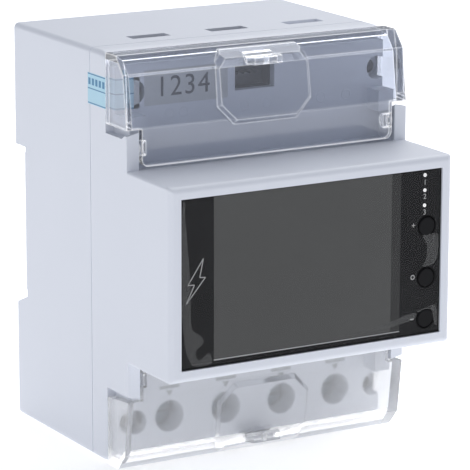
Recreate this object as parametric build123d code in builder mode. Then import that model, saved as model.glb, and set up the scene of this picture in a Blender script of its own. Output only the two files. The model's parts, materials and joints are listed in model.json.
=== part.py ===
from build123d import *
import os

os.makedirs("parts", exist_ok=True)

# Energy meter for a mounting rail, four modules wide, in millimetres.
# X runs across the front, +Z is up and the front faces -Y. The origin is the middle of the bottom.
# A size called a depth is measured from the back face towards the front.

# Case
module_width = 18.0
module_count = 4
case_width = module_width * module_count
case_height = 93.6
case_depth = 74.0
panel_height = 43.3
panel_raise = 0.35
panel_proud = 19.4
panel_rim = 2.8
cover_rise = 9.8
terminal_wall_sunk = 7.2
shell_step = 7.4
wall = 2.0
long_edge_radius = 1.2
front_edge_radius = 1.4
panel_edge_radius = 0.6
slope_run = 2.9
slope_drop = 0.4
seam_groove_width = 0.25
seam_groove_depth = 0.2
overrun = 1.0
fit_gap = 0.2

# Rail recess in the back and the clip that locks it
rail_height = 35.0
rail_play = 0.4
rail_raise = 0.25
rail_seat_depth = 4.7
rail_relief = 0.3
rail_flange = 1.0
rail_lead_in = 2.0
hook_width = 10.0
hook_spacing = 40.0
hook_reach = 1.0
clip_width = 18.0
clip_thickness = 2.4
clip_skin = 1.2
clip_foot = 4.6
clip_nose_reach = 1.8
clip_nose_bevel = 1.5
clip_travel = 4.0
clip_gap = 0.35
clip_lip = 1.8
clip_arm_width = 1.6
clip_arm_slit = 1.2
clip_arm_above_foot = 4.8
clip_arm_below_rail = 11.1
stop_peg_radius = 1.5
stop_peg_below_rail = 9.5
pull_slot_width = 6.0
pull_slot_height = 2.4
pull_slot_above_foot = 3.4

# Slots in the top and the sockets under the open ones
slot_pitch = 20.15
slot_shift = 2.4
slot_width = 9.7
slot_depth = 3.5
slot_behind_seam = 6.35
blind_slot_depth = 0.7
socket_wall = 0.8
socket_height = 10.0
socket_pocket = 7.0
socket_pin_radius = 0.4
socket_pin_length = 4.0
socket_pin_spacing = 4.0

# Terminals
pole_count = 4
pole_inset = 14.1
pole_level = 9.9
driver_hole_radius = 3.65
driver_tube_wall = 0.95
driver_tube_lip = 0.8
cable_hole_radius = 3.8
screw_head_sunk = 5.1
screw_head_radius = 3.2
screw_head_height = 2.8
screw_head_edge = 0.3
screw_slot_width = 1.0
screw_slot_depth = 1.3
screw_shank_radius = 2.4
thread_clearance = 0.08
bar_behind_seat = 8.4
bar_width = 6.0
bar_thickness = 1.8
bar_foot = 6.2
bar_top = 21.4
cage_wall = 1.0
cage_front_plate = 2.2
cage_rear_plate = 1.4
cage_height = 8.0
cage_gap = 0.2
cable_space = 5.4
block_end_wall = 0.5
block_back_wall = 1.0
block_roof = 2.4
block_inset = 0.4

# Clear covers, with 1 for the upper one and -1 for the lower one where they differ
cover_wall = 1.6
cover_end_wall = 1.8
cover_cheek_wall = 1.9
cover_gap = 0.15
cover_flat_run = 4.9
cover_bevel_run = 3.3
cover_bevel_drop = 3.8
cover_foot_beyond_panel = 9.0
cover_foot_slants = {1: 0.0, -1: 0.9}
tongue_gap = 0.6
tongue_edge_gap = 0.8
tongue_corner_radius = 1.6
hinge_beyond_panel = 4.6
hinge_behind_shoulder = 1.8
hinge_pin_radius = 0.9
hinge_pin_length = 1.9
hinge_pin_clearance = 0.08
hinge_lobe_radius = 1.7
hinge_lobe_thickness = 1.5
ear_width = 3.0
ear_beyond_panel = 8.4
ear_fall = 0.7
ear_ledge_drops = {1: 1.5, -1: 0.3}
ear_ledge_run = 2.3
ear_rib_rise = 3.0
ear_rib_run = 2.5
ear_stop_width = 3.1
ear_stop_gap = 0.4
pad_shift = -1.2
pad_width = 24.8
pad_proud = 0.9
pad_bevel = 1.2
pad_foot_corner = 4.2
pad_end_corner_width = 2.6
pad_end_corner_height = 3.4
pad_foot_beyond_panel = 7.8
pad_end_inset = 0.6
pad_end_proud = 1.3
pad_bend_from_end = 2.2
pad_bend_proud = 0.4
seal_lug_width = 9.6
seal_lug_height = 1.7
seal_lug_from_end = 3.4
seal_lug_proud = 2.2
seal_lug_taper = 1.3
seal_hole_radius = 0.75
catch_width = 6.4
catch_thickness = 0.7
catch_gap = 0.3
catch_tip_gap = 0.4

# Terminal walls behind the covers
nose_gap = 0.2
nose_inset = 3.0
nose_wall = 1.6
port_width = 10.2
port_height = 6.2
port_centre = -0.1
port_inset = 4.7
well_inset = 4.55
well_from_end = 9.3
well_radius = 2.75
well_width = 3.7
well_depth = 4.5
well_wall = 0.6
boss_radius = 3.5
case_screw_head_radius = 1.6
case_screw_head_height = 1.9
case_screw_shank_radius = 1.0
case_screw_length = 17.0

# Window, film, display and buttons
window_thickness = 1.8
window_sunk = 0.4
window_gap = 0.1
window_ledge = 0.6
window_rest = 0.7
window_end_rest = 0.5
film_thickness = 0.1
film_margin = 0.35
film_hole_gap = 0.5
button_inset = 3.7
button_level_shares = {"button_plus": 0.158, "button_select": -0.155, "button_minus": -0.4045}
button_radius = 2.1
button_proud = 0.3
button_crown = 0.25
button_gap = 0.2
button_flange_radius = 2.7
button_flange_height = 0.8
button_flange_gap = 0.3
button_stem_radius = 1.3
button_travel = 0.5
button_rest_gap = 0.1
switch_width = 4.4
switch_body_height = 1.3
switch_plunger_radius = 0.8
switch_plunger_height = 0.4
lamp_inset = 4.3
lamp_top_share = 0.468
lamp_pitch_share = 0.0915
lamp_count = 3
lamp_chip_width = 1.4
lamp_chip_height = 0.8
pipe_radius = 0.4
pipe_gap = 0.1
pipe_rail_thickness = 1.2
glass_left_margin = 7.1
glass_right_margin = 9.6
glass_end_margin = 0.3
display_glass_thickness = 2.0
display_frame_wall = 0.7
display_stack = 6.4
contact_strip_height = 2.0
contact_strip_gap = 0.4
light_guide_gap = 0.5
display_board_margin = 0.4
display_boss_radius = 2.0
display_boss_inset = 4.1
display_boss_length = 4.4
display_boss_left_shares = (-0.244, 0.331)

# Boards and what they carry
board_thickness = 1.6
main_board_behind_seam = 12.8
main_board_inset = 9.2
main_board_foot = 18.6
main_board_from_top = 4.6
post_radius = 2.8
post_inset = 3.0
low_post_rise = 9.9
high_post_drop = 13.6
small_screw_radius = 0.9
small_screw_head_radius = 1.9
small_screw_head_height = 1.3
small_screw_length = 5.0
comms_board_sunk = 6.5
comms_board_inset = 14.0
comms_board_rise = 2.0
comms_board_from_top = 5.0
comms_post_radius = 2.1
comms_post_inset = 3.5
comms_post_rise = 2.6
part_gap = 0.3
radio_rise = 6.2
radio_board_width = 9.0
radio_board_thickness = 0.8
radio_can_width = 7.2
radio_can_height = 1.6
port_socket_wall = 0.9
port_socket_back = 1.0
port_contact_count = 4
port_contact_pitch = 1.6
port_contact_width = 0.5
port_contact_length = 2.6
link_rise = 7.0
link_width = 9.6
link_height = 2.4
link_body_height = 2.5
link_pin_count = 5
link_pin_pitch = 1.8
link_pin_width = 0.6
riser_inset = 5.3
riser_drop = 3.15
riser_height = 14.0
transformer_shift = -7.0
transformer_drop = 14.15
transformer_core_width = 18.0
transformer_core_length = 15.0
transformer_core_height = 16.0
transformer_bobbin_width = 12.0
transformer_bobbin_length = 20.0
transformer_bobbin_height = 11.0
capacitor_shift = 8.5
capacitor_drop = 19.15
capacitor_pitch = 10.2
capacitor_count = 2
capacitor_radius = 4.6
capacitor_height = 16.0
film_capacitor_inset = 9.8
film_capacitor_rise = 0.85
film_capacitor_width = 18.0
film_capacitor_length = 6.0
film_capacitor_height = 12.0
film_capacitor_edge = 0.8
chip_pin_count = 5
chip_pin_width = 0.5
chip_pin_reach = 0.8
chip_pin_height = 0.3
metering_chip_shift = -6.0
metering_chip_rise = 6.85
metering_chip_width = 10.0
metering_chip_length = 10.0
processor_chip_shift = 10.0
processor_chip_rise = 11.45
processor_chip_width = 12.0
processor_chip_length = 8.0
supply_chip_shift = 8.0
supply_chip_rise = 20.25
supply_chip_width = 7.0
supply_chip_length = 5.0
chip_height = 1.6

# Places worked out from the sizes above
half_width = case_width / 2
half_depth = case_depth / 2
shoulder_depth = case_depth - panel_proud
cover_seam_depth = shoulder_depth - cover_rise
shell_seam_depth = cover_seam_depth - shell_step
terminal_wall_depth = shoulder_depth - terminal_wall_sunk
panel_middle = case_height / 2 + panel_raise
panel_edges = {1: panel_middle + panel_height / 2, -1: panel_middle - panel_height / 2}
case_ends = {1: case_height, -1: 0}
rail_top = panel_middle + rail_raise + rail_height / 2 + rail_play
rail_bottom = rail_top - rail_height - 2 * rail_play
clip_nose = rail_bottom + clip_nose_reach
stop_peg_level = rail_bottom - stop_peg_below_rail
inner_half = half_width - wall
cavity_top = case_height - wall
back_wall_depth = rail_seat_depth + wall
step_inner_depth = cover_seam_depth - wall
nose_half = half_width - cover_cheek_wall - nose_gap
nose_inner_depth = terminal_wall_depth - wall
window_width = case_width - 2 * panel_rim
window_height = panel_height - 2 * panel_rim
window_face_depth = case_depth - window_sunk
window_back_depth = window_face_depth - window_thickness
cavity_front_depth = window_back_depth - window_ledge
display_front_depth = cavity_front_depth - fit_gap
glass_back_depth = display_front_depth - display_glass_thickness
display_board_depth = display_front_depth - display_stack
display_board_back = display_board_depth - board_thickness
glass_xs = (glass_left_margin - window_width / 2, window_width / 2 - glass_right_margin)
button_column = window_width / 2 - button_inset
button_levels = {name: panel_middle + share * window_height for name, share in button_level_shares.items()}
lamp_column = window_width / 2 - lamp_inset
lamp_levels = [
    panel_middle + (lamp_top_share - index * lamp_pitch_share) * window_height
    for index in range(lamp_count)
]
main_board_depth = shell_seam_depth - main_board_behind_seam
main_board_back = main_board_depth - board_thickness
main_board_half = half_width - main_board_inset
main_board_top = case_height - main_board_from_top
post_levels = (main_board_foot + low_post_rise, main_board_top - high_post_drop)
comms_board_depth = terminal_wall_depth - comms_board_sunk
comms_board_back = comms_board_depth - board_thickness
comms_board_half = half_width - comms_board_inset
comms_board_levels = (panel_edges[1] + comms_board_rise, case_height - comms_board_from_top)
comms_post_column = comms_board_half - comms_post_inset
comms_post_levels = (comms_board_levels[0] + comms_post_rise, comms_board_levels[1] - comms_post_rise)
pole_pitch = 2 * (half_width - pole_inset) / (pole_count - 1)
pole_places = [(index - (pole_count - 1) / 2) * pole_pitch for index in range(pole_count)]
slot_places = [slot_shift + step * slot_pitch for step in (-1, 0, 1)]
slot_middle_depth = shell_seam_depth - slot_behind_seam
slot_depths = (slot_middle_depth - slot_depth / 2, slot_middle_depth + slot_depth / 2)
hinge_depth = shoulder_depth - hinge_behind_shoulder
tongue_half = half_width - ear_width - tongue_edge_gap
cover_flat_depth = cover_seam_depth + cover_flat_run
cover_bend_depth = cover_flat_depth + cover_bevel_run
screw_head_depth = terminal_wall_depth - screw_head_sunk
screw_seat_depth = screw_head_depth - screw_head_height
bar_front_depth = screw_seat_depth - bar_behind_seat
bar_back_depth = bar_front_depth - bar_thickness
cage_levels = (pole_level - cage_height / 2, pole_level + cage_height / 2)
cage_half = bar_width / 2 + cage_gap + cage_wall
cage_depths = (bar_back_depth - cable_space - cage_rear_plate, bar_front_depth + fit_gap + cage_front_plate)
cable_depth = bar_back_depth - cable_space / 2
well_column = half_width - well_inset
well_bottom_depth = terminal_wall_depth - well_depth
port_levels = (case_height - port_inset - port_height, case_height - port_inset)


def outward(side, distance):
    """Height of a point beyond the panel's edge, above it for side 1 and below it for side -1."""
    return panel_edges[side] + side * distance


def inward(side, distance):
    """Height of a point inside the case's end, under the top for side 1, over the bottom for side -1."""
    return case_ends[side] - side * distance


def at_depth(depth):
    """Y of a depth."""
    return half_depth - depth


def centred(middle, size):
    """Two values about a middle, a size apart."""
    return (middle - size / 2, middle + size / 2)


def facing(depth):
    """Plane across the case at a depth, X to the right, Z up and its normal to the front."""
    return Plane(origin=(0, at_depth(depth), 0), x_dir=(1, 0, 0), z_dir=(0, -1, 0))


def block(xs, depths, levels, mode=Mode.ADD):
    """Block between two values of X, two depths and two heights."""
    with Locations((sum(xs) / 2, at_depth(sum(depths) / 2), sum(levels) / 2)):
        Box(abs(xs[1] - xs[0]), abs(depths[1] - depths[0]), abs(levels[1] - levels[0]), mode=mode)


def rod(place, radius, depths, mode=Mode.ADD):
    """Round rod along the depth of the case, at a place given as X and height."""
    with Locations(facing(depths[0]).location * Pos(place[0], place[1], 0)):
        Cylinder(radius, depths[1] - depths[0], align=(Align.CENTER, Align.CENTER, Align.MIN), mode=mode)


def axle(xs, depth, level, radius, mode=Mode.ADD):
    """Round rod across the case between two values of X."""
    with Locations(Location((sum(xs) / 2, at_depth(depth), level), (0, 90, 0))):
        Cylinder(radius, abs(xs[1] - xs[0]), mode=mode)


def side_profile(points):
    """Closed outline in the side view, from points given as depth and height."""
    Polygon([(at_depth(depth), level) for depth, level in points], align=None)


def small_screw(place, seat_depth, sign):
    """Pan-head screw on a board, its head in front of the seat for sign 1 and behind it for sign -1."""
    head_depth = seat_depth + sign * small_screw_head_height
    tip_depth = seat_depth - sign * small_screw_length
    rod(place, small_screw_head_radius, sorted((seat_depth, head_depth)))
    rod(place, small_screw_radius, sorted((tip_depth, seat_depth)))


def finish(part, name):
    """Label a finished piece and write it to its file."""
    part.label = name
    export_step(part, f"parts/{name}.step")


# Places of the screws
well_places = [
    (edge * well_column, inward(side, well_from_end) + panel_raise)
    for edge in (-1, 1)
    for side in (-1, 1)
]
main_screw_places = [
    (edge * (main_board_half - post_inset), level)
    for edge in (-1, 1)
    for level in post_levels
]
comms_screw_places = [(edge * comms_post_column, level) for edge in (-1, 1) for level in comms_post_levels]
display_screw_places = [
    (display_boss_inset - inner_half, panel_middle + share * panel_height)
    for share in display_boss_left_shares
]
display_screw_places.append((inner_half - display_boss_inset, panel_middle))


# Rear housing: the shell behind the seam, with the rail recess, the clip channel and the posts
with BuildPart() as rear_housing:
    with BuildSketch(Plane.YZ):
        side_profile([
            (0, 0),
            (shell_seam_depth, 0),
            (shell_seam_depth, case_height),
            (0, case_height),
            (0, rail_top),
            (rail_seat_depth, rail_top),
            (rail_seat_depth, rail_bottom),
            (0, rail_bottom - rail_lead_in),
        ])
    extrude(amount=half_width, both=True)
    corner_edges = rear_housing.edges().filter_by(Axis.Y).group_by(Axis.Z)
    fillet(corner_edges[0] + corner_edges[-1], radius=long_edge_radius)
    block(centred(0, 2 * inner_half), (back_wall_depth, shell_seam_depth + overrun),
          (wall, cavity_top), Mode.SUBTRACT)
    block(centred(0, 2 * inner_half), (wall, back_wall_depth + overrun),
          (rail_top + wall, cavity_top), Mode.SUBTRACT)
    # Grooves beside the rail's seat, so that its face ends short of the hooks and the clip
    for levels in ((rail_top - hook_reach - fit_gap, rail_top), (rail_bottom, clip_nose + fit_gap)):
        block(centred(0, case_width + overrun), (rail_seat_depth - overrun, rail_seat_depth + rail_relief),
              levels, Mode.SUBTRACT)
    hook_depth = rail_seat_depth - rail_flange - rail_play
    for edge in (-1, 1):
        block(centred(edge * hook_spacing / 2, hook_width), (0, hook_depth),
              (rail_top - hook_reach, rail_top + overrun))
    channel_depths = (clip_skin - clip_gap, clip_skin + clip_thickness + clip_gap)
    block(centred(0, clip_width + 2 * clip_gap), channel_depths,
          (-overrun, rail_bottom + overrun), Mode.SUBTRACT)
    block(centred(0, clip_width - 2 * clip_lip), (-overrun, channel_depths[1]),
          (-overrun, rail_bottom + overrun), Mode.SUBTRACT)
    rod((0, stop_peg_level), stop_peg_radius, (clip_skin, channel_depths[1] + overrun))
    for place in well_places:
        rod(place, boss_radius, (wall if place[1] > rail_top else back_wall_depth, shell_seam_depth))
        rod(place, case_screw_shank_radius + thread_clearance,
            (well_bottom_depth - case_screw_length - overrun, shell_seam_depth + overrun), Mode.SUBTRACT)
    for place in main_screw_places:
        rod(place, post_radius, (wall if place[1] > rail_top else back_wall_depth, main_board_back))
        rod(place, small_screw_radius + thread_clearance,
            (main_board_depth - small_screw_length - overrun, main_board_back + overrun), Mode.SUBTRACT)
    for place in slot_places[:-1]:
        block(centred(place, slot_width), slot_depths, (cavity_top - overrun, case_height + overrun),
              Mode.SUBTRACT)
    block(centred(slot_places[-1], slot_width), slot_depths,
          (case_height - blind_slot_depth, case_height + overrun), Mode.SUBTRACT)
    with Locations([(place, at_depth(cable_depth), wall / 2) for place in pole_places]):
        Cylinder(cable_hole_radius, wall + overrun, mode=Mode.SUBTRACT)
finish(rear_housing.part, "rear_housing")

# Front housing: the shell before the seam, with the panel, the ears and the terminal walls
with BuildPart() as front_housing:
    with BuildSketch(Plane.YZ):
        side_profile([
            (shell_seam_depth, 0),
            (cover_seam_depth - slope_run, 0),
            (cover_seam_depth, slope_drop),
            (cover_seam_depth, case_height - slope_drop),
            (cover_seam_depth - slope_run, case_height),
            (shell_seam_depth, case_height),
        ])
    extrude(amount=half_width, both=True)
    corner_edges = front_housing.faces().filter_by(Axis.X).edges().filter_by(Axis.Z, reverse=True)
    fillet(corner_edges, radius=long_edge_radius)
    block(centred(0, case_width), (step_inner_depth, case_depth), (panel_edges[-1], panel_edges[1]))
    panel_corners = front_housing.edges().filter_by(Axis.Y)
    fillet(panel_corners.filter_by_position(Axis.Y, -half_depth, at_depth(shoulder_depth)),
           radius=panel_edge_radius)
    fillet(front_housing.faces().sort_by(Axis.Y)[0].edges(), radius=front_edge_radius)
    # Groove that shows as the line between the two shells
    with BuildSketch(facing(shell_seam_depth)):
        with Locations((0, case_height / 2)):
            Rectangle(case_width + overrun, case_height + overrun)
            RectangleRounded(case_width - 2 * seam_groove_depth, case_height - 2 * seam_groove_depth,
                             long_edge_radius - seam_groove_depth, mode=Mode.SUBTRACT)
    extrude(amount=seam_groove_width, mode=Mode.SUBTRACT)
    # Terminal walls and ears
    block(centred(0, 2 * nose_half), (step_inner_depth, terminal_wall_depth),
          (nose_inset, case_height - nose_inset))
    for side in (-1, 1):
        ear_root = outward(side, -wall)
        ear_top = outward(side, ear_beyond_panel)
        ear_ledge = outward(side, ear_beyond_panel - ear_ledge_drops[side])
        rib_levels = (ear_root, outward(side, ear_beyond_panel + ear_rib_rise))
        stop_levels = (outward(side, hinge_beyond_panel + hinge_lobe_radius + ear_stop_gap), rib_levels[1])
        rib_depths = (step_inner_depth, shoulder_depth - ear_rib_run)
        for edge in (-1, 1):
            with BuildSketch(Plane.YZ.offset(edge * half_width)):
                side_profile([
                    (step_inner_depth, ear_root),
                    (step_inner_depth, ear_ledge),
                    (shoulder_depth - ear_ledge_run, ear_ledge),
                    (shoulder_depth, ear_top),
                    (shoulder_depth, ear_root),
                ])
            extrude(amount=-edge * ear_width)
            with BuildSketch(facing(cover_seam_depth)):
                Polygon([
                    (edge * half_width, ear_top - side * ear_fall),
                    (edge * half_width, ear_top + side * overrun),
                    (edge * (half_width - ear_width), ear_top + side * overrun),
                    (edge * (half_width - ear_width), ear_top),
                ], align=None)
            extrude(amount=cover_rise + overrun, mode=Mode.SUBTRACT)
            # Rib beside the ear, and the stop over the hinge
            block((edge * (half_width - ear_width), edge * nose_half), rib_depths, rib_levels)
            block((edge * (half_width - ear_width - ear_stop_width), edge * nose_half), rib_depths,
                  stop_levels)
    # Hollow inside
    block(centred(0, 2 * inner_half), (shell_seam_depth - overrun, step_inner_depth),
          (wall, cavity_top), Mode.SUBTRACT)
    block(centred(0, 2 * (nose_half - nose_wall)), (step_inner_depth - overrun, nose_inner_depth),
          (nose_inset + nose_wall, case_height - nose_inset - nose_wall), Mode.SUBTRACT)
    block(centred(0, 2 * inner_half), (step_inner_depth - overrun, cavity_front_depth),
          (panel_edges[-1] + wall, panel_edges[1] - wall), Mode.SUBTRACT)
    # Seat of the window
    block(centred(0, window_width + 2 * window_gap), (window_back_depth, case_depth + overrun),
          centred(panel_middle, window_height + 2 * window_gap), Mode.SUBTRACT)
    block(centred(0, window_width - 2 * window_rest),
          (cavity_front_depth - overrun, window_back_depth + overrun),
          centred(panel_middle, window_height - 2 * window_end_rest), Mode.SUBTRACT)
    # Bosses for the boards
    for place in display_screw_places:
        boss_depths = (display_board_depth, display_board_depth + display_boss_length)
        edge = 1 if place[0] > 0 else -1
        rod(place, display_boss_radius, boss_depths)
        block((place[0], edge * (inner_half + wall / 2)), boss_depths,
              centred(place[1], 2 * display_boss_radius))
        rod(place, small_screw_radius + thread_clearance,
            (display_board_depth - overrun, display_board_depth + display_boss_length), Mode.SUBTRACT)
    for place in comms_screw_places:
        rod(place, comms_post_radius, (comms_board_depth, nose_inner_depth + wall / 2))
        rod(place, small_screw_radius + thread_clearance,
            (comms_board_depth - overrun, comms_board_back + small_screw_length + fit_gap), Mode.SUBTRACT)
    # Tubes for the screwdriver, which keep the terminal screws in
    tube_foot_depth = screw_seat_depth - fit_gap - driver_tube_lip
    for x in pole_places:
        place = (x, pole_level)
        rod(place, driver_hole_radius + driver_tube_wall, (tube_foot_depth, nose_inner_depth + wall / 2))
        rod(place, driver_hole_radius, (screw_seat_depth - fit_gap, terminal_wall_depth + overrun),
            Mode.SUBTRACT)
        rod(place, screw_shank_radius + fit_gap, (tube_foot_depth - overrun, screw_seat_depth),
            Mode.SUBTRACT)
    # Wells of the case screws, flat on their left
    for place in well_places:
        edge = 1 if place[0] > 0 else -1
        rod(place, boss_radius, (shell_seam_depth + fit_gap, step_inner_depth + wall / 2))
        block((place[0] - edge * (well_width / 2 + well_wall), edge * nose_half),
              (step_inner_depth, nose_inner_depth + wall / 2),
              centred(place[1], 2 * (well_radius + well_wall)))
        rod(place, case_screw_shank_radius + fit_gap, (shell_seam_depth, well_bottom_depth + overrun),
            Mode.SUBTRACT)
    with BuildSketch(facing(well_bottom_depth)):
        with Locations([(x + well_radius - well_width / 2, level) for x, level in well_places]):
            Circle(well_radius)
        with Locations([(x - well_width / 2 - well_radius, level) for x, level in well_places]):
            Rectangle(2 * well_radius, 3 * well_radius, mode=Mode.SUBTRACT)
    extrude(amount=well_depth + overrun, mode=Mode.SUBTRACT)
    # Window of the service port, catches of the covers and holes for their hinge pins
    block(centred(port_centre, port_width), (nose_inner_depth - overrun, terminal_wall_depth + overrun),
          port_levels, Mode.SUBTRACT)
    for side in (-1, 1):
        block(centred(pad_shift, catch_width), (nose_inner_depth, cover_bend_depth - catch_tip_gap),
              (inward(side, nose_inset), inward(side, nose_inset + catch_thickness)))
        for edge in (-1, 1):
            axle((edge * tongue_half, edge * (tongue_half + hinge_pin_length + fit_gap)), hinge_depth,
                 outward(side, hinge_beyond_panel), hinge_pin_radius + hinge_pin_clearance, Mode.SUBTRACT)
finish(front_housing.part, "front_housing")


def lean_depth(side, level):
    """Depth of a cover's leaning front at a height."""
    foot = outward(side, cover_foot_beyond_panel)
    bend = inward(side, cover_bevel_drop)
    return shoulder_depth + (level - foot) / (bend - foot) * (cover_bend_depth - shoulder_depth)


def cover_pad(side):
    """Raised eight-sided pad on the front of a cover, which follows the cover's bevel at its end."""
    foot = outward(side, pad_foot_beyond_panel)
    end = inward(side, pad_end_inset)
    with BuildPart() as pad:
        with BuildSketch(Plane.YZ):
            side_profile([
                (shoulder_depth - cover_wall / 2, foot),
                (lean_depth(side, foot) + pad_proud, foot),
                (cover_bend_depth + pad_bend_proud, inward(side, pad_bend_from_end)),
                (cover_flat_depth + pad_end_proud, end),
                (cover_flat_depth, end),
                (cover_bend_depth - cover_wall / 2, inward(side, cover_bevel_drop)),
            ])
        extrude(amount=pad_width / 2, both=True)
        half = pad_width / 2
        with BuildSketch(facing(0)):
            Polygon([
                (half - pad_foot_corner, foot),
                (half, foot + side * pad_foot_corner),
                (half, end - side * pad_end_corner_height),
                (half - pad_end_corner_width, end),
                (pad_end_corner_width - half, end),
                (-half, end - side * pad_end_corner_height),
                (-half, foot + side * pad_foot_corner),
                (pad_foot_corner - half, foot),
            ], align=None)
        extrude(amount=case_depth, mode=Mode.INTERSECT)
        front_edges = pad.faces().sort_by(SortBy.AREA)[-1].edges()
        end_edge = front_edges.sort_by(Axis.Z)[-1 if side == 1 else 0]
        chamfer([edge for edge in front_edges if edge != end_edge], length=pad_bevel)
    return pad.part.moved(Location((pad_shift, 0, 0)))


# Clear covers: a hollow hood, a tongue with the hinge pins, the pad, the seal lug and the catch pocket
for side, name in ((1, "top_terminal_cover"), (-1, "bottom_terminal_cover")):
    foot = outward(side, cover_foot_beyond_panel)
    pad = cover_pad(side)
    with BuildPart() as cover:
        with BuildSketch(Plane.YZ):
            side_profile([
                (cover_seam_depth + cover_gap, foot + side * cover_foot_slants[side]),
                (cover_seam_depth + cover_gap, case_ends[side]),
                (cover_flat_depth, case_ends[side]),
                (cover_bend_depth, inward(side, cover_bevel_drop)),
                (shoulder_depth, foot),
                (shoulder_depth - cover_wall, foot),
            ])
        extrude(amount=half_width, both=True)
        with BuildSketch(Plane.YZ):
            side_profile([
                (cover_seam_depth - overrun, foot - side * overrun),
                (cover_seam_depth - overrun, inward(side, cover_end_wall)),
                (cover_flat_depth - cover_wall / 2, inward(side, cover_end_wall)),
                (cover_bend_depth - cover_wall, inward(side, cover_bevel_drop + cover_wall / 2)),
                (shoulder_depth - cover_wall, foot),
                (shoulder_depth - cover_wall, foot - side * overrun),
            ])
        extrude(amount=half_width - cover_cheek_wall, both=True, mode=Mode.SUBTRACT)
        block(centred(0, 2 * tongue_half), (shoulder_depth - cover_wall, shoulder_depth),
              (outward(side, tongue_gap), foot))
        tongue_corners = cover.edges().filter_by(Axis.Y).group_by(Axis.Z)[0 if side == 1 else -1]
        fillet(tongue_corners, radius=tongue_corner_radius)
        for edge in (-1, 1):
            axle((edge * (tongue_half - hinge_lobe_thickness), edge * tongue_half), hinge_depth,
                 outward(side, hinge_beyond_panel), hinge_lobe_radius)
            axle((edge * tongue_half, edge * (tongue_half + hinge_pin_length)), hinge_depth,
                 outward(side, hinge_beyond_panel), hinge_pin_radius)
        add(pad)
        lug_middle = inward(side, seal_lug_from_end) + panel_raise
        lug_front = lean_depth(side, lug_middle) + pad_proud + seal_lug_proud
        lug_xs = centred(pad_shift, seal_lug_width)
        with BuildSketch(Plane.XY.offset(lug_middle)):
            Polygon([
                (lug_xs[0], at_depth(cover_bend_depth - cover_wall / 2)),
                (lug_xs[0] + seal_lug_taper, at_depth(lug_front)),
                (lug_xs[1] - seal_lug_taper, at_depth(lug_front)),
                (lug_xs[1], at_depth(cover_bend_depth - cover_wall / 2)),
            ], align=None)
        extrude(amount=seal_lug_height / 2, both=True)
        with Locations((pad_shift, at_depth(lug_front - 2 * seal_hole_radius), lug_middle)):
            Cylinder(seal_hole_radius, seal_lug_height + overrun, mode=Mode.SUBTRACT)
        # Blind pocket behind the lug, in which the catch of the case snaps
        block(centred(pad_shift, catch_width + 2 * catch_gap), (terminal_wall_depth, cover_bend_depth),
              centred(inward(side, nose_inset + catch_thickness / 2), catch_thickness + 2 * catch_gap),
              Mode.SUBTRACT)
    finish(cover.part, name)

# Window with holes for the buttons and the light pipes, and the film that lies on it
with BuildPart() as display_window:
    block(centred(0, window_width), (window_back_depth, window_face_depth),
          centred(panel_middle, window_height))
    for level in button_levels.values():
        rod((button_column, level), button_radius + button_gap,
            (window_back_depth - overrun, window_face_depth + overrun), Mode.SUBTRACT)
    for level in lamp_levels:
        rod((lamp_column, level), pipe_radius + pipe_gap,
            (window_back_depth - overrun, window_face_depth + overrun), Mode.SUBTRACT)
finish(display_window.part, "display_window")

with BuildPart() as screen_film:
    block(centred(0, window_width - 2 * film_margin),
          (window_face_depth, window_face_depth + film_thickness),
          centred(panel_middle, window_height - 2 * film_margin))
    for level in button_levels.values():
        rod((button_column, level), button_radius + film_hole_gap,
            (window_face_depth - overrun, window_face_depth + overrun), Mode.SUBTRACT)
finish(screen_film.part, "screen_film")

# Buttons, each with a flange behind the window and a stem that reaches its switch
switch_top_depth = display_board_depth + switch_body_height + switch_plunger_height
flange_front_depth = window_back_depth - button_flange_gap
flange_back_depth = flange_front_depth - button_flange_height
for name, level in button_levels.items():
    place = (button_column, level)
    with BuildPart() as button:
        rod(place, button_radius, (flange_front_depth, window_face_depth + button_proud))
        chamfer(button.edges().filter_by(GeomType.CIRCLE).sort_by(Axis.Y)[0], length=button_crown)
        rod(place, button_flange_radius, (flange_back_depth, flange_front_depth))
        rod(place, button_stem_radius,
            (switch_top_depth + button_travel + button_rest_gap, flange_back_depth))
    finish(button.part, name)

# Light pipes on a common rail, and the lamps behind them
with BuildPart() as light_pipes:
    rail_depth = display_board_depth + lamp_chip_height + fit_gap
    for level in lamp_levels:
        rod((lamp_column, level), pipe_radius, (rail_depth, window_face_depth))
    block(centred(lamp_column, lamp_chip_width), (rail_depth, rail_depth + pipe_rail_thickness),
          (lamp_levels[-1] - lamp_chip_width / 2, lamp_levels[0] + lamp_chip_width / 2))
finish(light_pipes.part, "light_pipes")

with BuildPart() as indicator_lamps:
    for level in lamp_levels:
        block(centred(lamp_column, lamp_chip_width),
              (display_board_depth, display_board_depth + lamp_chip_height),
              centred(level, lamp_chip_width))
finish(indicator_lamps.part, "indicator_lamps")

# Display: glass, frame, light guide and contact strip on the display board
glass_levels = centred(panel_middle, window_height - 2 * glass_end_margin)
guide_xs = (glass_xs[0] + light_guide_gap, glass_xs[1] - light_guide_gap)
with BuildPart() as display_glass:
    block(glass_xs, (glass_back_depth, display_front_depth), glass_levels)
finish(display_glass.part, "display_glass")

with BuildPart() as display_frame:
    block((glass_xs[0] - display_frame_wall, glass_xs[1] + display_frame_wall),
          (display_board_depth, display_front_depth),
          (glass_levels[0] - display_frame_wall, glass_levels[1] + display_frame_wall))
    block(glass_xs, (display_board_depth - overrun, display_front_depth + overrun), glass_levels,
          Mode.SUBTRACT)
finish(display_frame.part, "display_frame")

with BuildPart() as contact_strip:
    block(guide_xs, (display_board_depth, glass_back_depth),
          (glass_levels[0], glass_levels[0] + contact_strip_height))
finish(contact_strip.part, "contact_strip")

with BuildPart() as light_guide:
    block(guide_xs, (display_board_depth, glass_back_depth),
          (glass_levels[0] + contact_strip_height + contact_strip_gap, glass_levels[1]))
finish(light_guide.part, "light_guide")

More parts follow.
